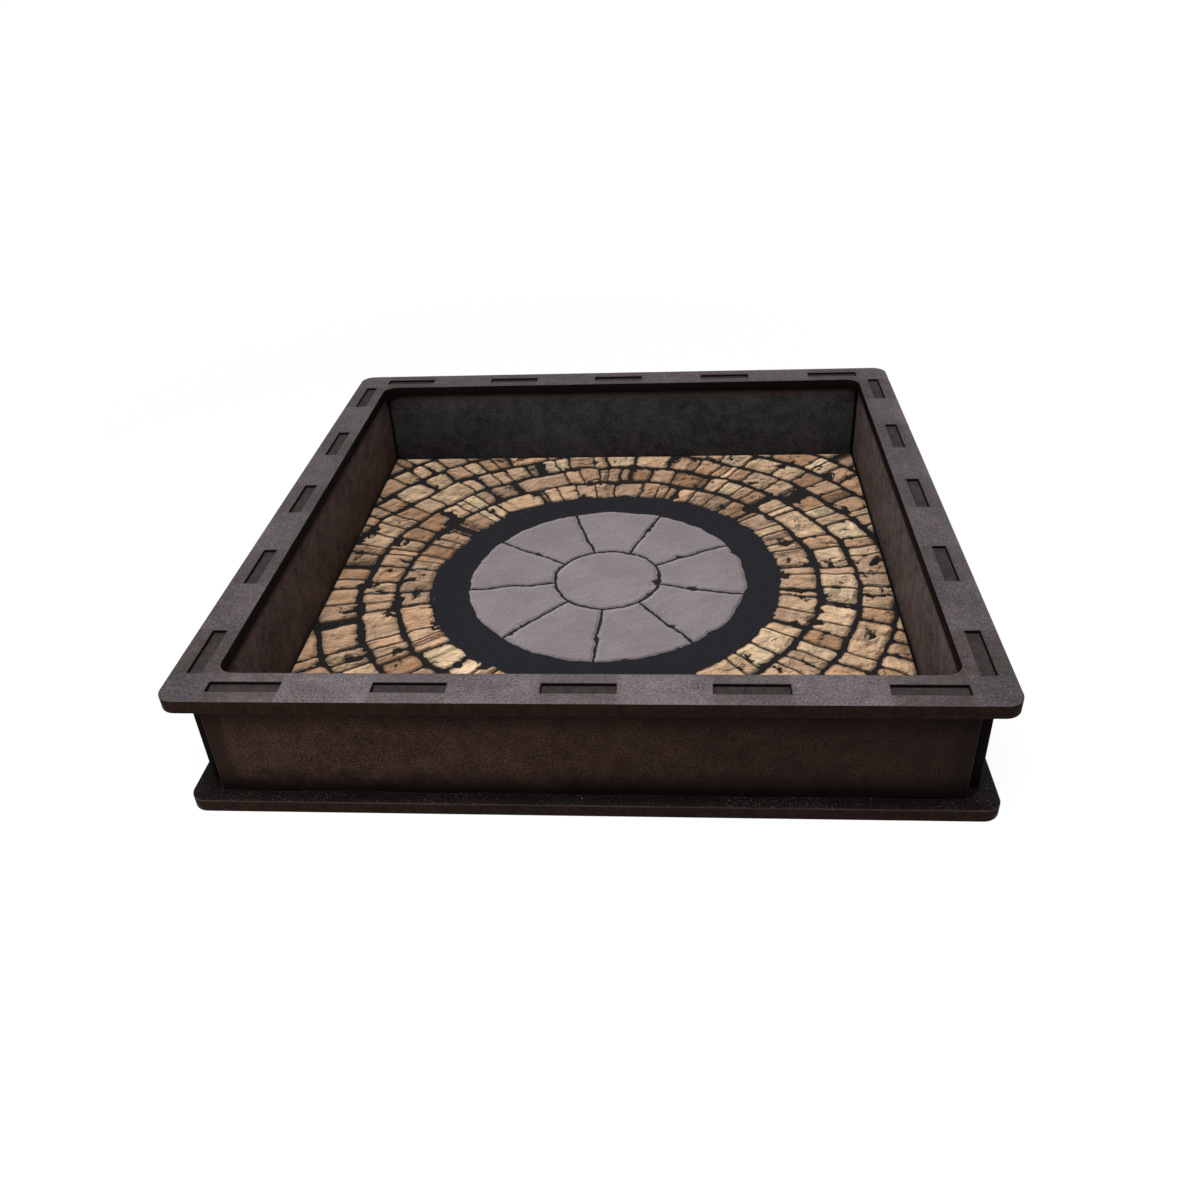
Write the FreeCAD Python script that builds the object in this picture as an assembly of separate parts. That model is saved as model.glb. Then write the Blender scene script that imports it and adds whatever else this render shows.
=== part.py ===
import FreeCAD, Part
import math
import os

# Square dice tray of laser-cut board. A slotted base and a slotted rim hold four tabbed walls
# between them, plain boards line the well, and a cloth-topped rubber mat lies on its floor.
# Millimetres. The origin is the centre of the plan on the underside of the base, and +Z is up.

# The tray as a whole. The base, the rim and the walls are cut from one board.
tray_side = 225.0
tray_height = 40.0
board_thickness = 4.0
overhang = 4.5
corner_radius = 5.0

# The rim's opening, which stops short of the liners and so stands over them as a lip.
lip = 1.0
opening_radius = 5.0

# Slots and tabs, the same on all four sides, in the rim and in the base.
slot_length = 20.0
slot_pitch = 45.0
slot_clearance = 0.1
tab_recess = 0.8
wall_end_gap = 0.5

# Liner boards. The left and right ones are the long ones, and the other two stand between them.
liner_thickness = 3.0
liner_clearance = 0.2
liner_end_gap = 1.2

# Mat.
mat_thickness = 2.0
mat_gap = 1.0
mat_corner_radius = 1.0

# Planes and lengths that follow from those sizes, measured from the centre or the underside.
plate_half = tray_side / 2
wall_outer = plate_half - overhang
wall_inner = wall_outer - board_thickness
wall_half_length = wall_inner - wall_end_gap
liner_inner = wall_inner - liner_thickness
opening_half = liner_inner - lip
mat_half = liner_inner - mat_gap
base_top = board_thickness
rim_bottom = tray_height - board_thickness
tab_half_length = slot_length / 2 - slot_clearance
slots_beside_centre = math.floor((wall_half_length - slot_length / 2) / slot_pitch)
slot_centres = [slot_pitch * step for step in range(-slots_beside_centre, slots_beside_centre + 1)]

# The sides in the order of the quarter turns, seen from above, that take a front piece to each.
sides = ("front", "right", "back", "left")


def block(low, high):
    """Box between two opposite corners."""
    length, width, height = [top - bottom for bottom, top in zip(low, high)]
    return Part.makeBox(length, width, height, FreeCAD.Vector(*low))


def rounded_square(half, radius, bottom, top):
    """Flat square slab about the centre, with its four upright corners rounded."""
    slab = block((-half, -half, bottom), (half, half, top))
    corners = [edge for edge in slab.Edges if abs(edge.tangentAt(edge.FirstParameter).z) > 0.5]
    return slab.makeFillet(radius, corners)


def on_side(shape, side):
    """Copy of a shape drawn at the front, turned to the named side of the tray."""
    turned = shape.copy()
    angle = 360 / len(sides) * sides.index(side)
    turned.rotate(FreeCAD.Vector(0, 0, 0), FreeCAD.Vector(0, 0, 1), angle)
    return turned


def slotted(plate, bottom, top):
    """Cut the slots of all four sides through a plate."""
    near = -wall_inner + slot_clearance
    far = -wall_outer - slot_clearance
    for centre in slot_centres:
        left = centre - slot_length / 2
        right = centre + slot_length / 2
        slot = block((left, far, bottom), (right, near, top))
        for side in sides:
            plate = plate.cut(on_side(slot, side))
    return plate


def base_plate():
    """Floor of the tray. It stands out past the walls like the rim and takes their lower tabs."""
    return slotted(rounded_square(plate_half, corner_radius, 0, base_top), 0, base_top)


def rim_frame():
    """Square ring on top of the walls, with the opening of the well and the upper slots."""
    ring = rounded_square(plate_half, corner_radius, rim_bottom, tray_height)
    opening = rounded_square(opening_half, opening_radius, rim_bottom, tray_height)
    return slotted(ring.cut(opening), rim_bottom, tray_height)


def wall():
    """Front wall: its shoulders meet the base and the rim, and its tabs pass into both."""
    panel = block((-wall_half_length, -wall_outer, base_top), (wall_half_length, -wall_inner, rim_bottom))
    tab_bottom = tab_recess
    tab_top = tray_height - tab_recess
    for centre in slot_centres:
        left = centre - tab_half_length
        right = centre + tab_half_length
        panel = panel.fuse(block((left, -wall_outer, tab_bottom), (right, -wall_inner, tab_top)))
    return panel.removeSplitter()


def liner(half_length):
    """Plain board that stands on the base against the front wall's inner face."""
    top = rim_bottom - liner_clearance
    return block((-half_length, -wall_inner, base_top), (half_length, -liner_inner, top))


def play_mat():
    """Mat that lies loose on the base inside the liners."""
    return rounded_square(mat_half, mat_corner_radius, base_top, base_top + mat_thickness)


long_liner = liner(wall_inner - liner_clearance)
short_liner = liner(liner_inner - liner_end_gap)
pieces = {"base_plate": base_plate(), "rim_frame": rim_frame(), "play_mat": play_mat()}
for side in sides:
    pieces["wall_" + side] = on_side(wall(), side)
for side in ("left", "right"):
    pieces["liner_" + side] = on_side(long_liner, side)
for side in ("front", "back"):
    pieces["liner_" + side] = on_side(short_liner, side)

os.makedirs("parts", exist_ok=True)
for name, shape in pieces.items():
    shape.exportStep(os.path.join("parts", name + ".step"))
    print(name, "volume", round(shape.Volume, 1), "valid", shape.isValid(), "solids", len(shape.Solids))
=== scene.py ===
import math

import bmesh
import bpy
from mathutils import Matrix, Vector


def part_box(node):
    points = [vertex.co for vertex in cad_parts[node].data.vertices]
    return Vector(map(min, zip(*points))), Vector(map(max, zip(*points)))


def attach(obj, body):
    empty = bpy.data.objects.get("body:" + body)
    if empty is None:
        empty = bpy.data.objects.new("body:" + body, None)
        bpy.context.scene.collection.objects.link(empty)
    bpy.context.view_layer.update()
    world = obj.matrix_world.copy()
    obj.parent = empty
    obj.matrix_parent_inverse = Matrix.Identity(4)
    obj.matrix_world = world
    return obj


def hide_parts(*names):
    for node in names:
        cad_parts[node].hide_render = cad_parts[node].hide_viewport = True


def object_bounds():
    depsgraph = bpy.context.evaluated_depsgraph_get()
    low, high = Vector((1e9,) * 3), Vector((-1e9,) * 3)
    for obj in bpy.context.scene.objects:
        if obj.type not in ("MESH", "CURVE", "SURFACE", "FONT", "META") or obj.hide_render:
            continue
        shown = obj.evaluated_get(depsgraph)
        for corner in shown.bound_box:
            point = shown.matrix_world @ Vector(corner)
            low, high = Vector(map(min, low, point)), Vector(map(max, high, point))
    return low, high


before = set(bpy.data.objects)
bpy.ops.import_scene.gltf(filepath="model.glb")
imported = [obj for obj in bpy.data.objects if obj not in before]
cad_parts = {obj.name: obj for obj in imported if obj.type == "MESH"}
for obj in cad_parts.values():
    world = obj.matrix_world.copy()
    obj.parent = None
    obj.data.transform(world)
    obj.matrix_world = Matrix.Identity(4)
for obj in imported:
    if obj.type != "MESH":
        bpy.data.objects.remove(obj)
cad_low, cad_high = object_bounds()
scene = bpy.context.scene
scene.view_settings.view_transform = "Standard"


# Camera. It stands in front of the tray, a little to its right and well above the rim. Its place,
# turn and focal length come from a fit to the tray's own straight edges in the photograph.
photo_width_px = 1200
focal_length_px = 1049.56
sensor_width_mm = 36.0
camera_place = (0.02715, -0.31945, 0.21031)
camera_turn = 0.0943
camera_downward = 0.5872
camera_lean = -0.0543
nearest_seen = 0.01

camera_data = bpy.data.cameras.new("camera")
camera_data.sensor_width = sensor_width_mm
camera_data.lens = sensor_width_mm * focal_length_px / photo_width_px
camera_data.clip_start = nearest_seen
camera = bpy.data.objects.new("camera", camera_data)
scene.collection.objects.link(camera)
facing = Matrix.Rotation(camera_turn, 4, "Z") @ Matrix.Rotation(math.pi / 2 - camera_downward, 4, "X")
camera.matrix_world = Matrix.Translation(camera_place) @ facing @ Matrix.Rotation(camera_lean, 4, "Z")
scene.camera = camera


# Studio. The tray stands on a plain pale table under a wide soft lamp, with weaker ones at its left
# front and behind it. An opening in the table lets a lamp below light the base's underside. A weak
# even light comes from all round, and the background is white to the camera.
lamps = {"overhead_lamp": (Vector((0.01, -0.22, 0.66)), (0.50, 0.50), 5.2),
         "left_lamp": (Vector((-0.36, -0.34, 0.20)), (0.22, 0.22), 0.75),
         "back_lamp": (Vector((0.34, 0.38, 0.035)), (0.30, 0.06), 0.8),
         "underside_lamp": (Vector((-0.20, -0.15, -0.60)), (0.40, 0.40), 4.0)}
room_light = 0.16
table_half = 4.0
table_under_tray = 0.002
table_colour = 0.60
table_roughness = 0.9
table_own_share = 0.20
table_white = 1.12
shadow_reach = 0.30
white_from = 0.70


def add_node(tree, kind, inputs=None, **settings):
    """New node. Settings are its own properties; inputs are values for its sockets, or sockets."""
    node = tree.nodes.new(kind)
    for name, value in settings.items():
        setattr(node, name, value)
    for name, value in (inputs or {}).items():
        if isinstance(value, bpy.types.NodeSocket):
            tree.links.new(value, node.inputs[name])
        else:
            node.inputs[name].default_value = value
    return node


def calc(tree, operation, *values):
    """Output of one step of arithmetic on sockets or numbers."""
    return add_node(tree, "ShaderNodeMath", dict(enumerate(values)), operation=operation).outputs[0]


def straight_ray(tree):
    """1 where the eye, a reflection or glass looks on, and 0 where the ray only carries light."""
    path = add_node(tree, "ShaderNodeLightPath").outputs
    seen = calc(tree, "MAXIMUM", path["Is Camera Ray"], path["Is Glossy Ray"])
    return calc(tree, "MAXIMUM", seen, path["Is Transmission Ray"])


for name, (place, size, watts) in lamps.items():
    lamp_data = bpy.data.lights.new(name, "AREA")
    lamp_data.shape = "RECTANGLE"
    lamp_data.size, lamp_data.size_y = size
    lamp_data.energy = watts
    lamp = bpy.data.objects.new(name, lamp_data)
    lamp.location = place
    lamp.visible_camera = False
    lamp.rotation_euler = (-place).to_track_quat("-Z", "Y").to_euler()
    scene.collection.objects.link(lamp)

world = bpy.data.worlds.new("room")
world.use_nodes = True
scene.world = world
background = world.node_tree.nodes["Background"]
strength = add_node(world.node_tree, "ShaderNodeMapRange",
                    {"Value": straight_ray(world.node_tree), "To Min": room_light, "To Max": 1.0})
world.node_tree.links.new(strength.outputs["Result"], background.inputs["Strength"])
background.inputs["Color"].default_value = (1, 1, 1, 1)

table_opening_half = cad_high.x - table_under_tray
table_mesh = bpy.data.meshes.new("table")
corners = [(x * half, y * half, 0) for half in (table_half, table_opening_half)
           for x, y in ((-1, -1), (1, -1), (1, 1), (-1, 1))]
strips = [(corner, (corner + 1) % 4, (corner + 1) % 4 + 4, corner + 4) for corner in range(4)]
table_mesh.from_pydata(corners, [], strips)
table = bpy.data.objects.new("table", table_mesh)
scene.collection.objects.link(table)
paint = bpy.data.materials.new("table_paint")
paint.use_nodes = True
tree = paint.node_tree
pale = tree.nodes["Principled BSDF"]
pale.inputs["Base Color"].default_value = (table_colour, table_colour, table_colour, 1)
pale.inputs["Roughness"].default_value = table_roughness
pale.inputs["Specular IOR Level"].default_value = 0.0
white = add_node(tree, "ShaderNodeEmission", {"Color": (1, 1, 1, 1), "Strength": table_white})
spot = add_node(tree, "ShaderNodeTexCoord").outputs["Object"]
away = add_node(tree, "ShaderNodeVectorMath", {0: spot}, operation="LENGTH").outputs["Value"]
glow = add_node(tree, "ShaderNodeMapRange", {"Value": away, "From Min": shadow_reach, "From Max": white_from,
                                             "To Min": 1 - table_own_share, "To Max": 1.0})
share = calc(tree, "MULTIPLY", straight_ray(tree), glow.outputs["Result"])
blend = add_node(tree, "ShaderNodeMixShader", {"Fac": share, 1: pale.outputs["BSDF"],
                                               2: white.outputs["Emission"]})
tree.links.new(blend.outputs["Shader"], tree.nodes["Material Output"].inputs["Surface"])
table_mesh.materials.append(paint)


# Base plate. A square of black-dyed fibreboard, laser-cut with rounded corners and a row of slots
# along each side for the walls' lower tabs. Its edge stands out past the walls and gathers dust.
slot_length = 0.020
slot_width = 0.0042
slot_centre = 0.106
slot_pitch = 0.045
slots_per_side = 5
last_slot = (slots_per_side - 1) / 2
corner_radius = 0.005
corner_steps = 12
eased_edge = 0.00022
eased_from = math.radians(50)
shaded_sharp_from = math.radians(40)
weld_within = 0.00001
# Distances at which each stain, and the dirt and painted shade by the walls, starts and is full.
smoke_past_slot = (0.0012, 0.0)
burn_past_slot = (0.00055, 0.00020)
dirt_and_shade_past_wall = (0.0036, -0.0006)
smoke_strength = 0.40
more_at_end_slots = 0.18
plate_low, plate_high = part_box("base_plate")
side_length = plate_high.x - plate_low.x


def colour(red, green, blue):
    """Linear colour, with full alpha, of an 8-bit display colour."""
    channels = [value / 255 for value in (red, green, blue)]
    return tuple(c / 12.92 if c <= 0.04045 else ((c + 0.055) / 1.055) ** 2.4 for c in channels) + (1.0,)


def total(tree, value, *others):
    """Sum of sockets and numbers."""
    for other in others:
        value = calc(tree, "ADD", value, other)
    return value


def product(tree, value, *others):
    """Product of sockets and numbers."""
    for other in others:
        value = calc(tree, "MULTIPLY", value, other)
    return value


def scaled(tree, vector, factor):
    """Vector or colour times a number."""
    node = add_node(tree, "ShaderNodeVectorMath", {0: vector, "Scale": factor}, operation="SCALE")
    return node.outputs["Vector"]


def axis_of(tree, vector, axis):
    """One part of a vector, X, Y or Z."""
    return add_node(tree, "ShaderNodeSeparateXYZ", {"Vector": vector}).outputs[axis]


def ramp(tree, value, low, high, to_low=0.0, to_high=1.0):
    """Value eased from one range to another, and held at its ends."""
    inputs = {"Value": value, "From Min": low, "From Max": high, "To Min": to_low, "To Max": to_high}
    return add_node(tree, "ShaderNodeMapRange", inputs, interpolation_type="SMOOTHSTEP").outputs["Result"]


def mixed(tree, factor, first, second):
    """Colour between two colours."""
    return add_node(tree, "ShaderNodeMix", {0: factor, 6: first, 7: second}, data_type="RGBA").outputs[2]


def noise(tree, vector, waves, detail=3, roughness=0.6, distortion=0.0):
    """Smooth noise from 0 to 1, with so many waves in a metre."""
    inputs = {"Vector": vector, "Scale": waves, "Detail": detail, "Roughness": roughness,
              "Distortion": distortion}
    return add_node(tree, "ShaderNodeTexNoise", inputs).outputs["Fac"]


def wander(tree, vector, reach, waves, detail=3, roughness=0.6):
    """Smooth noise from minus to plus its reach."""
    return calc(tree, "MULTIPLY_ADD", noise(tree, vector, waves, detail, roughness), 2 * reach, -reach)


def flat_place(tree, axes):
    """Place on a board's broad face, as a vector of the two named axes of the tray."""
    place = add_node(tree, "ShaderNodeTexCoord").outputs["Object"]
    across, along = (axis_of(tree, place, axis.upper()) for axis in axes)
    return add_node(tree, "ShaderNodeCombineXYZ", {"X": across, "Y": along}).outputs["Vector"]


def strewn(tree, place, cells, length, width, share):
    """Short straight fibres, one in a share of so many cells in a metre, each lying its own way."""
    cell = add_node(tree, "ShaderNodeTexVoronoi", {"Vector": place, "Scale": cells},
                    voronoi_dimensions="2D").outputs
    from_middle = add_node(tree, "ShaderNodeVectorMath", {0: place, 1: cell["Position"]},
                           operation="SUBTRACT")
    chance = add_node(tree, "ShaderNodeSeparateColor", {"Color": cell["Color"]}).outputs
    turned = add_node(tree, "ShaderNodeVectorRotate",
                      {"Vector": from_middle.outputs["Vector"],
                       "Angle": product(tree, chance["Red"], 2 * math.pi)}, rotation_type="Z_AXIS")
    along, across = (calc(tree, "ABSOLUTE", axis_of(tree, turned.outputs["Vector"], axis)) for axis in "XY")
    return product(tree, ramp(tree, along, length / 2, length / 4), ramp(tree, across, width / 2, width / 6),
                   calc(tree, "LESS_THAN", chance["Green"], share))


def new_material(name):
    """Material with a bare shader, and its tree and shader."""
    material = bpy.data.materials.new(name)
    material.use_nodes = True
    return material, material.node_tree, material.node_tree.nodes["Principled BSDF"]


def roughen(tree, shader, height, strength, distance=0.0001):
    """Let a pattern raise and sink a shader's surface, by up to so many metres."""
    bump = add_node(tree, "ShaderNodeBump", {"Height": height, "Strength": strength, "Distance": distance})
    tree.links.new(bump.outputs["Normal"], shader.inputs["Normal"])


def board_face(name, axes, mean, fleck, stains_and_shade=(), dust=0.0, gloss=0.04, cool=None, clouds=0.14,
               patches=0.14, grit=0.58):
    """Pressed face of dyed fibreboard: felted grain, pale fibres, stains by the cuts, painted shade, and
    dust.
    """
    material, tree, shader = new_material(name)
    place = flat_place(tree, axes)
    grain = noise(tree, place, waves=1400, detail=5, roughness=0.8)
    cloud = noise(tree, place, waves=42, detail=4)
    patch = noise(tree, place, waves=240)
    tone = total(tree, ramp(tree, grain, 0.32, 0.70, -grit, grit),
                 ramp(tree, cloud, 0.3, 0.7, -clouds, clouds),
                 ramp(tree, patch, 0.3, 0.7, -patches, patches), 1.0)
    hue = ramp(tree, noise(tree, place, waves=330, detail=4, roughness=0.7), 0.35, 0.65)
    surface = scaled(tree, mixed(tree, hue, mean, cool or mean), tone)
    long_fibres = strewn(tree, place, cells=430, length=0.0015, width=0.00016, share=0.28)
    short_fibres = strewn(tree, place, cells=820, length=0.0006, width=0.00019, share=0.40)
    flecks = ramp(tree, noise(tree, place, waves=2300, detail=2), 0.56, 0.72, 0.0, 0.8)
    fibres = calc(tree, "MAXIMUM", calc(tree, "MAXIMUM", long_fibres, short_fibres), flecks)
    patchy = ramp(tree, noise(tree, place, waves=110), 0.34, 0.66, 0.16, 0.70)
    surface = mixed(tree, product(tree, fibres, patchy), surface, fleck)
    for mark_at, mark in stains_and_shade:
        surface = mixed(tree, mark_at(tree, place), surface, mark)
    if dust:
        specks = strewn(tree, place, cells=240, length=0.0005, width=0.00025, share=dust)
        lint = strewn(tree, place, cells=420, length=0.0012, width=0.00010, share=dust)
        faint = ramp(tree, noise(tree, place, waves=180, detail=2, roughness=0.5), 0.42, 0.68, 0.08, 0.70)
        dusty = product(tree, calc(tree, "MAXIMUM", specks, lint), faint)
        surface = mixed(tree, dusty, surface, colour(178, 168, 158))
    tree.links.new(surface, shader.inputs["Base Color"])
    tree.links.new(ramp(tree, grain, 0.3, 0.7, 0.62, 0.78), shader.inputs["Roughness"])
    shader.inputs["Specular IOR Level"].default_value = gloss
    roughen(tree, shader, total(tree, grain, product(tree, fibres, 0.5)), strength=0.35)
    return material


def laser_cut(name, thin_axis, mean, sooty_at=None):
    """Scorched edge that the laser leaves, with fine lines through the thickness, black where sooty."""
    material, tree, shader = new_material(name)
    place = add_node(tree, "ShaderNodeTexCoord").outputs["Object"]
    stretch = tuple(0.05 if axis == thin_axis else 1.0 for axis in "xyz")
    stretched = add_node(tree, "ShaderNodeMapping", {"Vector": place, "Scale": stretch}).outputs["Vector"]
    lines = noise(tree, stretched, waves=2600, detail=2)
    blotch = noise(tree, place, waves=380, detail=4, roughness=0.65)
    tone = total(tree, ramp(tree, lines, 0.3, 0.7, 0.84, 1.16), ramp(tree, blotch, 0.3, 0.7, -0.22, 0.22))
    surface = scaled(tree, mean[:3], tone)
    if sooty_at:
        surface = mixed(tree, sooty_at(tree, place), surface, soot_black)
    tree.links.new(surface, shader.inputs["Base Color"])
    shader.inputs["Roughness"].default_value = 0.62
    shader.inputs["Specular IOR Level"].default_value = 0.02
    roughen(tree, shader, lines, strength=0.2)
    return material


def worn_edge(name, mean):
    """Eased edge of a board, rubbed paler here and there."""
    material, tree, shader = new_material(name)
    place = add_node(tree, "ShaderNodeTexCoord").outputs["Object"]
    rubbed = total(tree, ramp(tree, noise(tree, place, waves=70), 0.35, 0.65, 0.7, 1.15),
                   ramp(tree, noise(tree, place, waves=1700, detail=2), 0.3, 0.7, -0.2, 0.2))
    tree.links.new(scaled(tree, mean[:3], rubbed), shader.inputs["Base Color"])
    shader.inputs["Roughness"].default_value = 0.6
    shader.inputs["Specular IOR Level"].default_value = 0.1
    return material


def shape_tree(name, **names_by_kind):
    """Geometry tree that gives one shape, and its inputs, which are named under their kinds."""
    tree = bpy.data.node_groups.new(name, "GeometryNodeTree")
    for kind, names in names_by_kind.items():
        for input_name in names:
            tree.interface.new_socket(input_name, in_out="INPUT", socket_type="NodeSocket" + kind)
    tree.interface.new_socket("Geometry", in_out="OUTPUT", socket_type="NodeSocketGeometry")
    return tree, tree.nodes.new("NodeGroupInput").outputs


def slotted_plate_tree():
    """Square plate by rule: rounded outline, square opening, a row of slots on each side."""
    tree, given = shape_tree("slotted_plate", Int=("Slots Per Side",), Bool=("Open",),
                             Float=("Side", "Thickness", "Bottom", "Corner Radius", "Opening",
                                    "Opening Radius", "Slot Length", "Slot Width", "Slot Centre",
                                    "Slot Pitch"),
                             Material=("Face", "Under", "Cut"))

    def rounded_square(side, radius):
        square = add_node(tree, "GeometryNodeCurvePrimitiveQuadrilateral", {"Width": side, "Height": side})
        arcs = add_node(tree, "GeometryNodeFilletCurve",
                        {"Curve": square.outputs[0], "Count": corner_steps, "Radius": radius}, mode="POLY")
        return arcs.outputs[0]

    slot = add_node(tree, "GeometryNodeCurvePrimitiveQuadrilateral",
                    {"Width": given["Slot Length"], "Height": given["Slot Width"]})
    gaps = calc(tree, "SUBTRACT", given["Slots Per Side"], 1)
    start = add_node(tree, "ShaderNodeCombineXYZ", {"X": product(tree, gaps, given["Slot Pitch"], -0.5),
                                                    "Y": product(tree, given["Slot Centre"], -1.0)})
    step = add_node(tree, "ShaderNodeCombineXYZ", {"X": given["Slot Pitch"]})
    places = add_node(tree, "GeometryNodeMeshLine",
                      {"Count": given["Slots Per Side"], "Start Location": start.outputs[0],
                       "Offset": step.outputs[0]})
    row = add_node(tree, "GeometryNodeInstanceOnPoints",
                   {"Points": places.outputs[0], "Instance": slot.outputs[0]})
    middle = add_node(tree, "GeometryNodeMeshLine", {"Count": 4, "Offset": (0, 0, 0)})
    index = add_node(tree, "GeometryNodeInputIndex")
    turn = add_node(tree, "ShaderNodeCombineXYZ", {"Z": product(tree, index.outputs[0], math.pi / 2)})
    rows = add_node(tree, "GeometryNodeInstanceOnPoints",
                    {"Points": middle.outputs[0], "Instance": row.outputs[0], "Rotation": turn.outputs[0]})
    slots = add_node(tree, "GeometryNodeRealizeInstances", {"Geometry": rows.outputs[0]})
    opening = add_node(tree, "GeometryNodeSwitch",
                       {"Switch": given["Open"],
                        "True": rounded_square(given["Opening"], given["Opening Radius"])})
    outlines = tree.nodes.new("GeometryNodeJoinGeometry")
    for part in (rounded_square(given["Side"], given["Corner Radius"]), opening.outputs[0],
                 slots.outputs[0]):
        tree.links.new(part, outlines.inputs[0])
    sheet = add_node(tree, "GeometryNodeFillCurve", {"Curve": outlines.outputs[0]}, mode="TRIANGLES")
    up = add_node(tree, "ShaderNodeCombineXYZ", {"Z": 1.0})
    raised = add_node(tree, "GeometryNodeExtrudeMesh",
                      {"Mesh": sheet.outputs[0], "Offset": up.outputs[0],
                       "Offset Scale": given["Thickness"], "Individual": False})
    under = add_node(tree, "GeometryNodeFlipFaces", {"Mesh": sheet.outputs[0]})
    faced = add_node(tree, "GeometryNodeSetMaterial",
                     {"Geometry": raised.outputs["Mesh"], "Material": given["Face"]})
    cut = add_node(tree, "GeometryNodeSetMaterial",
                   {"Geometry": faced.outputs[0], "Selection": raised.outputs["Side"],
                    "Material": given["Cut"]})
    under = add_node(tree, "GeometryNodeSetMaterial",
                     {"Geometry": under.outputs[0], "Material": given["Under"]})
    shell = tree.nodes.new("GeometryNodeJoinGeometry")
    tree.links.new(under.outputs[0], shell.inputs[0])
    tree.links.new(cut.outputs[0], shell.inputs[0])
    welded = add_node(tree, "GeometryNodeMergeByDistance",
                      {"Geometry": shell.outputs[0], "Distance": weld_within})
    lift = add_node(tree, "ShaderNodeCombineXYZ", {"Z": given["Bottom"]})
    placed = add_node(tree, "GeometryNodeTransform",
                      {"Geometry": welded.outputs[0], "Translation": lift.outputs[0]})
    tree.links.new(placed.outputs[0], tree.nodes.new("NodeGroupOutput").inputs[0])
    return tree


def plain_mesh(name, tree, values):
    """Mesh that a geometry tree makes from named values, with no modifier left."""
    holder = bpy.data.objects.new(name, bpy.data.meshes.new(name))
    scene.collection.objects.link(holder)
    modifier = holder.modifiers.new("shape", "NODES")
    modifier.node_group = tree
    sockets = {item.name: item.identifier for item in tree.interface.items_tree if item.in_out == "INPUT"}
    for socket, value in values.items():
        modifier[sockets[socket]] = value
    graph = bpy.context.evaluated_depsgraph_get()
    mesh = bpy.data.meshes.new_from_object(holder.evaluated_get(graph))
    bpy.data.objects.remove(holder)
    return mesh


def board(name, mesh):
    """Finished board: edges eased a hair and worn, in the place and stead of its CAD node."""
    form = bmesh.new()
    form.from_mesh(mesh)
    bmesh.ops.dissolve_limit(form, angle_limit=0.01, verts=form.verts, edges=form.edges,
                             delimit={"MATERIAL"})
    sharp = [edge for edge in form.edges if edge.is_manifold and edge.calc_face_angle(0) > eased_from]
    bmesh.ops.bevel(form, geom=sharp, offset=eased_edge, segments=2, profile=0.5, affect="EDGES",
                    clamp_overlap=True, material=len(mesh.materials) - 1)
    bmesh.ops.triangulate(form, faces=[face for face in form.faces if len(face.verts) > 4])
    form.to_mesh(mesh)
    form.free()
    mesh.shade_smooth()
    mesh.set_sharp_from_angle(angle=shaded_sharp_from)
    piece = bpy.data.objects.new(name + "_board", mesh)
    scene.collection.objects.link(piece)
    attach(piece, "root")
    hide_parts(name)


def from_centre(tree, place):
    """Distances on a plate from the tray's centre: outward to the nearest side, and along that side."""
    across, back = (calc(tree, "ABSOLUTE", axis_of(tree, place, axis)) for axis in "XY")
    return calc(tree, "MAXIMUM", across, back), calc(tree, "MINIMUM", across, back)


def near_slots(tree, place):
    """Number of the nearest slot from its row's middle, and distances past its end and its outline."""
    outward, sideways = from_centre(tree, place)
    number = calc(tree, "ROUND", calc(tree, "DIVIDE", sideways, slot_pitch))
    number = calc(tree, "MINIMUM", number, last_slot)
    along = calc(tree, "ABSOLUTE", calc(tree, "SUBTRACT", sideways, product(tree, number, slot_pitch)))
    along = calc(tree, "SUBTRACT", along, slot_length / 2)
    across = calc(tree, "ABSOLUTE", calc(tree, "SUBTRACT", outward, slot_centre))
    across = calc(tree, "SUBTRACT", across, slot_width / 2)
    along_out, across_out = (calc(tree, "POWER", calc(tree, "MAXIMUM", distance, 0.0), 2.0)
                             for distance in (along, across))
    return number, along, calc(tree, "SQRT", total(tree, along_out, across_out))


def slot_smoke(tree, place):
    """Brown stain across the plate beside each slot, strongest at the end slots of a row."""
    number, past_end = near_slots(tree, place)[:2]
    end_slot = calc(tree, "GREATER_THAN", number, last_slot - 0.5)
    strength = calc(tree, "MULTIPLY_ADD", end_slot, more_at_end_slots, smoke_strength)
    drift = calc(tree, "MULTIPLY_ADD", noise(tree, place, waves=240), 0.002, -0.0016)
    beside = ramp(tree, calc(tree, "SUBTRACT", past_end, drift), *smoke_past_slot)
    cloudy = ramp(tree, noise(tree, place, waves=170, detail=4, roughness=0.65), 0.32, 0.62, 0.35, 1.0)
    return product(tree, beside, cloudy, strength)


def slot_burn(tree, place):
    """Thin scorched line round each slot."""
    distance = near_slots(tree, place)[2]
    uneven = product(tree, noise(tree, place, waves=500), 0.0003)
    return ramp(tree, total(tree, distance, uneven), *burn_past_slot, 0.0, 0.55)


def flange_dirt_and_shade(tree, place):
    """Black dirt on the base's edge, with painted shade that deepens it against the foot of the walls."""
    drift = product(tree, noise(tree, place, waves=210, detail=4, roughness=0.65), 0.004)
    from_wall = calc(tree, "SUBTRACT", from_centre(tree, place)[0], slot_centre + slot_width / 2)
    return ramp(tree, calc(tree, "SUBTRACT", from_wall, drift), *dirt_and_shade_past_wall, 0.15, 0.78)


def flange_dust(tree, place):
    """Grains of pale dust on the base's edge, thicker in smears."""
    smear = ramp(tree, noise(tree, place, waves=60, distortion=1.0), 0.42, 0.66, 0.22, 0.90)
    grains = ramp(tree, noise(tree, place, waves=1700, detail=2, roughness=0.75), 0.50, 0.70)
    return product(tree, smear, grains)


def inside_plate(tree, place):
    """1 on the cut walls of slots and openings, and 0 on the outer edge of a plate."""
    return calc(tree, "LESS_THAN", from_centre(tree, place)[0], side_length / 2 - corner_radius / 2)


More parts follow.
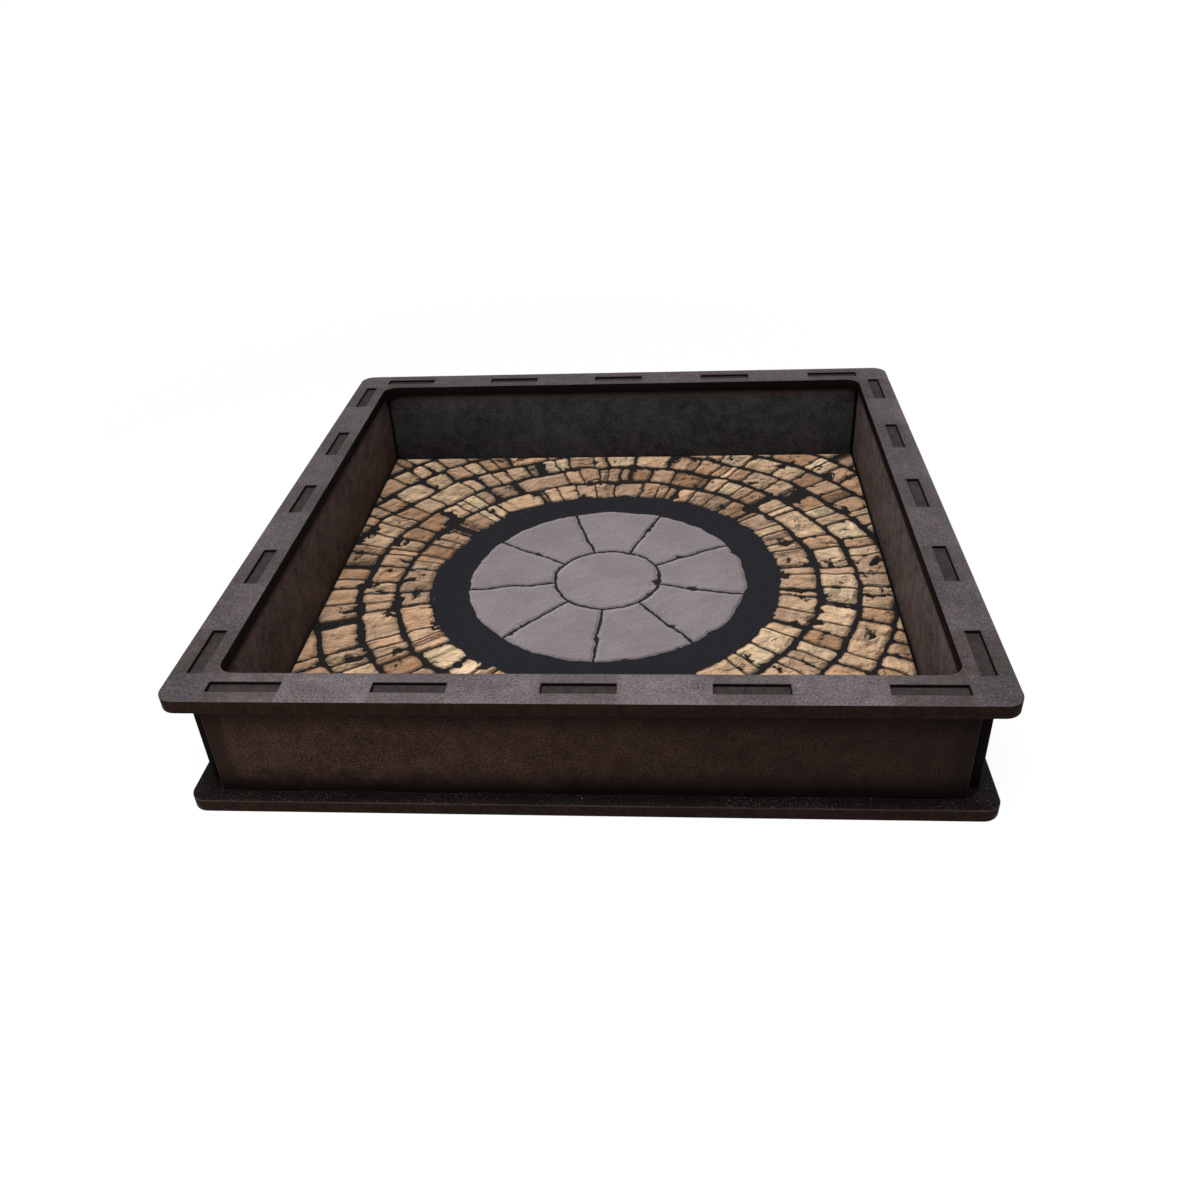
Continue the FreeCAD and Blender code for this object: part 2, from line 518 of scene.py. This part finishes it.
char_brown = colour(50, 39, 34)
soot_black = colour(14, 11, 10)
plate_shape = slotted_plate_tree()
base_stains_and_shade = [(flange_dirt_and_shade, colour(6, 5, 5)), (flange_dust, colour(72, 62, 59))]
# The base's face colour is set far darker than its underside: partly dirt, partly painted shade under the
# rim.
base_face = board_face("base_board_face", "xy", colour(24, 18, 17), colour(66, 56, 52), base_stains_and_shade,
                       dust=0.16, grit=0.75)
under_face = board_face("under_board_face", "xy", colour(56, 47, 45), colour(112, 98, 92),
                        [(slot_smoke, char_brown), (slot_burn, soot_black)], clouds=0.22, patches=0.20)
base_cut = laser_cut("base_laser_cut", "z", colour(35, 25, 20), inside_plate)
# The base's eased edge is painted paler than its face and cut: partly wear, partly a painted highlight along
# the arris.
base_edge = worn_edge("base_worn_highlit_edge", colour(52, 42, 37))
plate_values = {"Side": side_length, "Thickness": plate_high.z - plate_low.z, "Bottom": plate_low.z,
                "Corner Radius": corner_radius, "Slot Length": slot_length, "Slot Width": slot_width,
                "Slot Centre": slot_centre, "Slot Pitch": slot_pitch, "Slots Per Side": slots_per_side,
                "Open": False, "Face": base_face, "Under": under_face, "Cut": base_cut}
plate_mesh = plain_mesh("base_plate_shape", plate_shape, plate_values)
plate_mesh.materials.append(base_edge)
board("base_plate", plate_mesh)


# Rim. A square ring of the same board on top of the walls, with a slot over each of their upper
# tabs. Its inner edge stands in past the liners. Its front side is painted palest, as painted light.
opening_side = 0.200
opening_radius = 0.005
# Distances at which the palest front ends and the painted shade is full.
dark_from_middle = (0.088, 0.106)
dark_behind_front = (-0.103, -0.094)
dark_at_corner = (0.192, 0.214)
rim_low, rim_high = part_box("rim_frame")


def painted_shade_off_front_middle(tree, place):
    """Painted shade on the rim away from its front middle, which is left palest as painted light; a little
    darker at its front corners.
    """
    across = calc(tree, "ABSOLUTE", axis_of(tree, place, "X"))
    back = axis_of(tree, place, "Y")
    drift = wander(tree, place, reach=0.015, waves=55, detail=4)
    sideways = ramp(tree, total(tree, across, drift), *dark_from_middle)
    behind = ramp(tree, total(tree, back, product(tree, drift, 0.4)), *dark_behind_front)
    corner = ramp(tree, calc(tree, "SUBTRACT", across, back), *dark_at_corner, 0.0, 0.14)
    mottle = ramp(tree, noise(tree, place, waves=1000, roughness=0.7), 0.36, 0.64, 0.22, 0.58)
    return calc(tree, "MULTIPLY_ADD", calc(tree, "MAXIMUM", sideways, behind), mottle, corner)


rim_stains_and_shade = [(painted_shade_off_front_middle, colour(22, 20, 22)), (slot_smoke, char_brown), (slot_burn, soot_black)]
rim_face = board_face("rim_board_face", "xy", colour(101, 91, 90), colour(152, 142, 142), rim_stains_and_shade,
                      dust=0.04, gloss=0.14, cool=colour(92, 85, 92), clouds=0.22, patches=0.12, grit=0.57)
rim_cut = laser_cut("rim_laser_cut", "z", colour(34, 23, 18), inside_plate)
rim_edge = worn_edge("rim_worn_edge", colour(84, 70, 66))
rim_values = dict(plate_values)
rim_values.update({"Thickness": rim_high.z - rim_low.z, "Bottom": rim_low.z, "Open": True,
                   "Opening": opening_side, "Opening Radius": opening_radius,
                   "Face": rim_face, "Cut": rim_cut})
rim_mesh = plain_mesh("rim_frame_shape", plate_shape, rim_values)
rim_mesh.materials.append(rim_edge)
board("rim_frame", rim_mesh)


# Walls. Four equal panels of the same board stand on edge between base and rim, glued by five tabs
# above and five below. Each stops short of its neighbours, so the corners are open notches.
tab_length = 0.0198
# Distances at which each stain and each painted shade starts and is full.
shade_below_rim = (0.011, 0.001)
shade_above_base = (0.0105, 0.0005)
shade_drift_across = (-0.07, 0.11)
strip_from_end = (0.0070, 0.0036)
quarter_turns = {"front": 0, "right": 1, "back": 2, "left": 3}
wall_low, wall_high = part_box("wall_front")
shoulder_low = plate_high.z
shoulder_high = rim_low.z


def comb_outline(half_length, low, high):
    """Corners of a panel with its tabs, counter-clockwise from the left end of its lower edge."""
    centres = [slot_pitch * (number - last_slot) for number in range(slots_per_side)]
    lower = [(-half_length, shoulder_low)]
    for centre in centres:
        left = centre - tab_length / 2
        right = centre + tab_length / 2
        lower += [(left, shoulder_low), (left, low), (right, low), (right, shoulder_low)]
    lower.append((half_length, shoulder_low))
    upper = [(-across, shoulder_high if height == shoulder_low else high) for across, height in lower]
    return lower + upper


def below_tab_top(tree, place):
    """1 on a panel's edges, but 0 on the tops of its upper tabs."""
    return calc(tree, "LESS_THAN", axis_of(tree, place, "Z"), wall_high.z - eased_edge)


def standing_board(name, outline, outer, inner, side, finishes):
    """Flat outline in the front wall's plane, given its thickness and turned to its side."""
    form = bmesh.new()
    front = [form.verts.new((across, outer, height)) for across, height in outline]
    back = [form.verts.new((across, inner, height)) for across, height in outline]
    form.faces.new(front)
    form.faces.new(back[::-1])
    for first in range(len(outline)):
        second = (first + 1) % len(outline)
        edge_face = form.faces.new((front[second], front[first], back[first], back[second]))
        edge_face.material_index = 1
    turn = Matrix.Rotation(quarter_turns[side] * math.pi / 2, 3, "Z")
    bmesh.ops.rotate(form, verts=form.verts, cent=(0, 0, 0), matrix=turn)
    mesh = bpy.data.meshes.new(name)
    form.to_mesh(mesh)
    form.free()
    for finish in finishes:
        mesh.materials.append(finish)
    return mesh


def uneven_height(tree, place):
    """Height on a wall's face, with a slow wander."""
    return total(tree, axis_of(tree, place, "Y"), wander(tree, place, reach=0.003, waves=60))


def painted_shade_under_rim(tree, place):
    """Painted shade on a wall's face under the rim's overhang."""
    below_rim = calc(tree, "SUBTRACT", shoulder_high, uneven_height(tree, place))
    return ramp(tree, below_rim, *shade_below_rim, 0.0, 0.78)


def painted_shade_at_foot(tree, place):
    """Painted shade on a wall's face, deepest at its foot over the base."""
    above_base = calc(tree, "SUBTRACT", uneven_height(tree, place), shoulder_low)
    return ramp(tree, above_base, *shade_above_base, 0.0, 0.98)


def painted_shade_towards_end(tree, place):
    """Painted shade that deepens towards one end of a wall, as if the light fell off there."""
    across = total(tree, axis_of(tree, place, "X"), wander(tree, place, reach=0.03, waves=30))
    return ramp(tree, across, *shade_drift_across, 0.0, 0.62)


def end_strips(tree, place):
    """Strips of a wall's face by its ends, where masking film kept the laser's smoke off."""
    from_end = calc(tree, "SUBTRACT", wall_high.x, calc(tree, "ABSOLUTE", axis_of(tree, place, "X")))
    return ramp(tree, from_end, *strip_from_end, 0.0, 0.80)


wall_outline = comb_outline(wall_high.x, wall_low.z, wall_high.z)
# The walls are the rim's board, but their face colour is set darker: painted shade for the weaker light on
# upright faces.
wall_brown = colour(53, 37, 31)
wall_fleck = colour(114, 94, 81)
wall_stains_and_shade = [(end_strips, colour(30, 20, 14)), (painted_shade_towards_end, colour(26, 18, 15)),
               (painted_shade_under_rim, colour(16, 7, 3)), (painted_shade_at_foot, colour(11, 7, 6))]
wall_edge = worn_edge("wall_worn_edge", colour(44, 34, 30))
for side in quarter_turns:
    axes = "xz" if side in ("front", "back") else "yz"
    face = board_face("wall_" + side + "_face", axes, wall_brown, wall_fleck, wall_stains_and_shade, clouds=0.20,
                      patches=0.24, grit=0.66)
    cut = laser_cut("wall_" + side + "_cut", "y" if axes == "xz" else "x", colour(54, 49, 48), below_tab_top)
    mesh = standing_board("wall_" + side + "_shape", wall_outline, wall_low.y, wall_high.y, side,
                          (face, cut, wall_edge))
    board("wall_" + side, mesh)


# Liners. Plain thinner boards stand inside the walls, under the rim's lip. The left and right ones
# are the long ones, and a dark gap is left at each end of the other two.
# The liners are one board, but each face colour carries painted light and shade: the right one palest, the
# back one darkest.
liner_faces_with_painted_shade = {"front": ("xz", colour(54, 49, 47), colour(92, 84, 80)),
               "right": ("yz", colour(89, 79, 77), colour(152, 138, 134)),
               "back": ("xz", colour(46, 44, 45), colour(80, 77, 78)),
               "left": ("yz", colour(75, 62, 58), colour(116, 99, 92))}
# Distances at which the tint starts and is full.
tint_below_top = (0.0036, 0.0020)
front_liner_low, front_liner_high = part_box("liner_front")


def heat_line(tree, place):
    """Brown tint that the laser leaves along a liner's top edge."""
    height = total(tree, axis_of(tree, place, "Y"), wander(tree, place, reach=0.002, waves=90, detail=4))
    below_top = calc(tree, "SUBTRACT", front_liner_high.z, height)
    return ramp(tree, below_top, *tint_below_top, 0.0, 0.55)


for side, (axes, mean, fleck) in liner_faces_with_painted_shade.items():
    low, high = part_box("liner_" + side)
    half_length = high.x if axes == "xz" else high.y
    outline = [(-half_length, low.z), (half_length, low.z), (half_length, high.z), (-half_length, high.z)]
    face = board_face("liner_" + side + "_face", axes, mean, fleck, [(heat_line, colour(58, 44, 36))],
                      clouds=0.26, patches=0.26)
    cut = laser_cut("liner_" + side + "_cut", "y" if axes == "xz" else "x", colour(30, 24, 21))
    mesh = standing_board("liner_" + side + "_shape", outline, front_liner_low.y, front_liner_high.y, side,
                          (face, cut, wall_edge))
    board("liner_" + side, mesh)


# Mat. Printed cloth bonded to black foam rubber and die-cut square. It lies loose on the base. Its
# print is a paved court: rings of split stone round a floor of grey flags, with dark joints.
mat_low, mat_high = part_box("play_mat")
mat_side = mat_high.x - mat_low.x
mat_thickness = 0.00185
mat_unevenness = mat_high.z - mat_low.z - mat_thickness
mat_rounding = 0.0003
mat_rows = 81
floor_radius = 0.050
middle_flag = 0.019
flags_around = 9
flag_turn = 0.3
stones_start = 0.062
course_height = 0.0135
course_shift = 0.37
stones_around = 48
stones_more_each_course = 9
stone_ends_uneven = 0.08
stone_corner = 0.0022
print_wander = 0.0036
ground_fade = 0.006
facets_per_metre = 210
bed_stretch = (90.0, 3.0, 31.0)
# Distances inside an outline at which a joint's ground ends, and over which the drawn edges rise.
joint_edge = (-0.0001, 0.0002)
stone_edge = (-0.0004, 0.0020)
flag_edge = (0.0, 0.0014)
# Heights of the drawn relief.
stone_edge_height = 0.0009
facet_height = 0.0010
swell_height = 0.0022
grain_height = 0.00026
flag_edge_height = 0.0004
flag_swell_height = 0.0007
drawn_light = Vector((-0.35, 0.60, 0.72))
darkest_shade = 0.24
thread_pitch = 0.00042


def polar_place(tree, place):
    """Distance from the middle of the print and angle round it, with a slight wander."""
    drift = add_node(tree, "ShaderNodeTexNoise", {"Vector": place, "Scale": 95.0, "Detail": 3.0})
    drift = add_node(tree, "ShaderNodeVectorMath", {0: drift.outputs["Color"], 1: (0.5, 0.5, 0.5)},
                     operation="SUBTRACT")
    drift = scaled(tree, drift.outputs["Vector"], print_wander)
    bent = add_node(tree, "ShaderNodeVectorMath", {0: place, 1: drift}, operation="ADD")
    x, y = (axis_of(tree, bent.outputs["Vector"], axis) for axis in "XY")
    radius = calc(tree, "SQRT", total(tree, product(tree, x, x), product(tree, y, y)))
    return radius, calc(tree, "ARCTAN2", y, x)


def nearer_end(tree, fraction):
    """Distance from the nearer end of a span, where fraction runs from 0 to 1 along it."""
    return calc(tree, "MINIMUM", fraction, calc(tree, "SUBTRACT", 1.0, fraction))


def worn_back(tree, gap, ragged, chipped):
    """Distance inside a stone's outline, once its ragged edge and chips are taken off."""
    return calc(tree, "SUBTRACT", calc(tree, "SUBTRACT", gap, ragged), chipped)


def three_chances(tree, *numbers):
    """Three random values from 0 to 1 for each whole number or pair of them."""
    cell = add_node(tree, "ShaderNodeCombineXYZ", dict(zip("XYZ", numbers)))
    chance = add_node(tree, "ShaderNodeTexWhiteNoise", {"Vector": cell.outputs[0]}, noise_dimensions="3D")
    chance = add_node(tree, "ShaderNodeSeparateColor", {"Color": chance.outputs["Color"]})
    return [chance.outputs[name] for name in ("Red", "Green", "Blue")]


def painted_light(tree, height):
    """Light and shade of a drawn relief, 1 where it is level, as if lit from behind on the left."""
    relief = add_node(tree, "ShaderNodeBump", {"Height": height, "Strength": 1.0, "Distance": 1.0})
    facing = add_node(tree, "ShaderNodeVectorMath", {0: relief.outputs["Normal"], 1: drawn_light},
                      operation="DOT_PRODUCT")
    return calc(tree, "DIVIDE", facing.outputs["Value"], drawn_light.z)


def printed_stones(tree, place, radius, angle):
    """Courses of split stone: their colour, the height of their relief, and 1 on them but 0 in a joint."""
    # The course, and the stone's number and place in it.
    drift = wander(tree, place, reach=0.25, waves=26, detail=2, roughness=0.5)
    depth = calc(tree, "DIVIDE", calc(tree, "SUBTRACT", radius, stones_start), course_height)
    depth = total(tree, depth, drift)
    course = calc(tree, "FLOOR", depth)
    depth = calc(tree, "FRACT", depth)
    around = add_node(tree, "ShaderNodeCombineXYZ",
                      {"X": calc(tree, "COSINE", angle), "Y": calc(tree, "SINE", angle),
                       "Z": product(tree, course, 7.0)})
    uneven = wander(tree, around.outputs[0], reach=3.0, waves=2.6)
    count = calc(tree, "MULTIPLY_ADD", course, float(stones_more_each_course), float(stones_around))
    turns = product(tree, calc(tree, "DIVIDE", angle, 2 * math.pi), count)
    turns = total(tree, turns, uneven, product(tree, course, course_shift))
    number = calc(tree, "FLOORED_MODULO", calc(tree, "FLOOR", turns), count)
    across = calc(tree, "FRACT", turns)
    red, green, blue = three_chances(tree, number, course)

    # Distance inside the stone's outline, which is rounded at its corners, ragged and chipped.
    width = calc(tree, "DIVIDE", product(tree, radius, 2 * math.pi), count)
    beside = product(tree, nearer_end(tree, across), width)
    inner_end = calc(tree, "SUBTRACT", depth, product(tree, red, stone_ends_uneven))
    outer_end = calc(tree, "SUBTRACT", calc(tree, "SUBTRACT", 1.0, depth),
                     product(tree, green, stone_ends_uneven))
    before = product(tree, calc(tree, "MINIMUM", inner_end, outer_end), course_height)
    short = [calc(tree, "MAXIMUM", calc(tree, "SUBTRACT", stone_corner, side), 0.0)
             for side in (beside, before)]
    rounded = calc(tree, "SQRT", total(tree, *(product(tree, side, side) for side in short)))
    ragged = product(tree, noise(tree, place, waves=620, roughness=0.65), 0.0008)
    chipped = ramp(tree, noise(tree, place, waves=130, distortion=0.5), 0.55, 0.72, 0.0, 0.0026)
    gap = worn_back(tree, calc(tree, "SUBTRACT", stone_corner, rounded), ragged, chipped)
    share = ramp(tree, gap, *joint_edge)

    # Drawn relief: each face leans and tips its own way, and is split into facets.
    lean = product(tree, calc(tree, "SUBTRACT", across, 0.5), width, calc(tree, "SUBTRACT", green, 0.5))
    tip = product(tree, calc(tree, "SUBTRACT", depth, 0.5), course_height, calc(tree, "SUBTRACT", blue, 0.5))
    facets = add_node(tree, "ShaderNodeTexVoronoi", {"Vector": place, "Scale": facets_per_metre})
    swells = noise(tree, place, waves=170, roughness=0.5, distortion=0.6)
    height = total(tree, ramp(tree, gap, *stone_edge, 0.0, stone_edge_height),
                   product(tree, lean, 0.5), product(tree, tip, 0.5),
                   product(tree, facets.outputs["Distance"], -facet_height),
                   product(tree, swells, swell_height),
                   product(tree, noise(tree, place, waves=800), grain_height))

    # Layers and cracks in the stone, and its darker rim.
    stretched = {axis: product(tree, value, stretch)
                 for axis, value, stretch in zip("XYZ", (radius, turns, red), bed_stretch)}
    beds = add_node(tree, "ShaderNodeCombineXYZ", stretched).outputs[0]
    layers = noise(tree, beds, waves=1.6, detail=4, distortion=0.8)
    cracks = noise(tree, beds, waves=0.9, detail=4, roughness=0.55, distortion=1.4)
    cracks = calc(tree, "ABSOLUTE", calc(tree, "SUBTRACT", cracks, 0.5))
    tone = product(tree, ramp(tree, layers, 0.3, 0.7, 0.86, 1.12),
                   ramp(tree, noise(tree, place, waves=60, detail=4), 0.32, 0.68, 0.82, 1.10),
                   ramp(tree, cracks, 0.001, 0.010, 0.55, 1.06), ramp(tree, gap, 0.0, 0.0012, 0.60, 1.07))

    # Each stone's own colour.
    tint = add_node(tree, "ShaderNodeValToRGB", {"Fac": calc(tree, "FRACT", total(tree, red, blue))})
    tint.color_ramp.elements[0].color = colour(152, 118, 90)
    tint.color_ramp.elements[1].color = colour(198, 174, 142)
    for position, shade in ((0.25, colour(184, 148, 118)), (0.5, colour(164, 136, 112)),
                            (0.75, colour(192, 160, 128))):
        tint.color_ramp.elements.new(position).color = shade
    return scaled(tree, tint.outputs["Color"], tone), height, share


def printed_floor(tree, place, radius, angle):
    """Grey flags in the middle: their colour, the height of their relief, and 1 on them but 0 in a joint."""
    outer_flag = calc(tree, "GREATER_THAN", radius, middle_flag)
    turns = calc(tree, "MULTIPLY_ADD", angle, flags_around / (2 * math.pi), flag_turn)
    number = calc(tree, "FLOORED_MODULO", calc(tree, "FLOOR", turns), flags_around)
    number = product(tree, number, outer_flag)
    width = product(tree, radius, 2 * math.pi / flags_around)
    beside = total(tree, product(tree, nearer_end(tree, calc(tree, "FRACT", turns)), width),
                   calc(tree, "SUBTRACT", 1.0, outer_flag))
    ring = calc(tree, "ABSOLUTE", calc(tree, "SUBTRACT", radius, middle_flag))
    gap = calc(tree, "MINIMUM", calc(tree, "MINIMUM", beside, ring),
               calc(tree, "SUBTRACT", floor_radius, radius))
    ragged = product(tree, noise(tree, place, waves=420), 0.0007)
    chipped = ramp(tree, noise(tree, place, waves=90), 0.56, 0.72, 0.0, 0.0012)
    gap = worn_back(tree, gap, ragged, chipped)
    share = ramp(tree, gap, 0.0, 0.0003)
    swells = noise(tree, place, waves=130, detail=5, roughness=0.65)
    height = total(tree, ramp(tree, gap, *flag_edge, 0.0, flag_edge_height),
                   product(tree, swells, flag_swell_height))
    chance = three_chances(tree, number, outer_flag)[0]
    blotch = noise(tree, place, waves=45, detail=5, roughness=0.62)
    grain = noise(tree, place, waves=1100, roughness=0.7)
    tone = product(tree, calc(tree, "MULTIPLY_ADD", chance, 0.12, 0.94),
                   ramp(tree, blotch, 0.3, 0.7, 0.88, 1.08), ramp(tree, grain, 0.3, 0.7, 0.90, 1.10))
    return scaled(tree, colour(136, 127, 128)[:3], tone), height, share


def print_on_cloth(name):
    """Printed face of the mat: the paved court, seen through the weave of its cloth."""
    material, tree, shader = new_material(name)
    place = flat_place(tree, "xy")
    radius, angle = polar_place(tree, place)
    stones, stone_height, stone_share = printed_stones(tree, place, radius, angle)
    flags, flag_height, flag_share = printed_floor(tree, place, radius, angle)
    in_floor = calc(tree, "LESS_THAN", radius, stones_start)
    height = add_node(tree, "ShaderNodeMix", {0: in_floor, 2: stone_height, 3: flag_height}).outputs[0]
    share = add_node(tree, "ShaderNodeMix", {0: in_floor, 2: stone_share, 3: flag_share}).outputs[0]
    light = calc(tree, "MAXIMUM", painted_light(tree, height), darkest_shade)
    court = scaled(tree, mixed(tree, in_floor, stones, flags), light)
    among_stones = ramp(tree, radius, stones_start, stones_start + ground_fade)
    ground = mixed(tree, among_stones, colour(24, 24, 29), colour(22, 19, 19))
    specks = ramp(tree, noise(tree, place, waves=1500, roughness=0.7), 0.5, 0.8, 0.0, 0.35)
    ground = mixed(tree, specks, ground, colour(66, 66, 72))
    printed = mixed(tree, share, ground, court)
    warp, weft = (calc(tree, "SINE", product(tree, axis_of(tree, place, axis), 2 * math.pi / thread_pitch))
                  for axis in "XY")
    weave = product(tree, warp, weft)
    faded = scaled(tree, printed, calc(tree, "MULTIPLY_ADD", weave, 0.05, 0.95))
    tree.links.new(faded, shader.inputs["Base Color"])
    shader.inputs["Roughness"].default_value = 0.85
    shader.inputs["Specular IOR Level"].default_value = 0.12
    shader.inputs["Sheen Weight"].default_value = 0.03
    roughen(tree, shader, weave, strength=0.35, distance=0.00004)
    return material


def foam_rubber(name):
    """Black foam rubber under the cloth, cut square at the edge, with a fine open texture."""
    material, tree, shader = new_material(name)
    place = add_node(tree, "ShaderNodeTexCoord").outputs["Object"]
    pores = noise(tree, place, waves=1900, roughness=0.7)
    tree.links.new(mixed(tree, pores, colour(22, 22, 23), colour(40, 39, 39)), shader.inputs["Base Color"])
    shader.inputs["Roughness"].default_value = 0.8
    roughen(tree, shader, pores, strength=0.5)
    return material


def uneven_sheet_tree():
    """Square sheet in a fine grid, with gentle dips that never rise above its level."""
    tree, given = shape_tree("uneven_sheet", Float=("Side", "Level", "Dip"), Int=("Rows",),
                             Material=("Face",))
    grid = add_node(tree, "GeometryNodeMeshGrid", {"Size X": given["Side"], "Size Y": given["Side"],
                                                   "Vertices X": given["Rows"], "Vertices Y": given["Rows"]})
    where = add_node(tree, "GeometryNodeInputPosition")
    waves = noise(tree, where.outputs[0], waves=14, detail=1, roughness=0.4)
    dip = product(tree, ramp(tree, waves, 0.3, 0.7), given["Dip"])
    height = add_node(tree, "ShaderNodeCombineXYZ", {"Z": calc(tree, "SUBTRACT", given["Level"], dip)})
    lifted = add_node(tree, "GeometryNodeSetPosition",
                      {"Geometry": grid.outputs["Mesh"], "Offset": height.outputs[0]})
    faced = add_node(tree, "GeometryNodeSetMaterial",
                     {"Geometry": lifted.outputs[0], "Material": given["Face"]})
    tree.links.new(faced.outputs[0], tree.nodes.new("NodeGroupOutput").inputs[0])
    return tree


sheet_values = {"Side": mat_side, "Level": mat_high.z, "Dip": mat_unevenness, "Rows": mat_rows,
                "Face": print_on_cloth("mat_printed_cloth")}
mat_mesh = plain_mesh("mat_sheet", uneven_sheet_tree(), sheet_values)
mat_mesh.materials.append(foam_rubber("mat_foam_rubber"))
mat_mesh.shade_smooth()
mat = bpy.data.objects.new("printed_mat", mat_mesh)
scene.collection.objects.link(mat)
thickness = mat.modifiers.new("thickness", "SOLIDIFY")
thickness.thickness = mat_thickness
thickness.offset = -1
thickness.material_offset = 1
thickness.material_offset_rim = 1
rounding = mat.modifiers.new("die_cut_edge", "BEVEL")
rounding.width = mat_rounding
rounding.segments = 2
rounding.limit_method = "ANGLE"
rounding.angle_limit = math.radians(60)
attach(mat, "root")
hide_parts("play_mat")
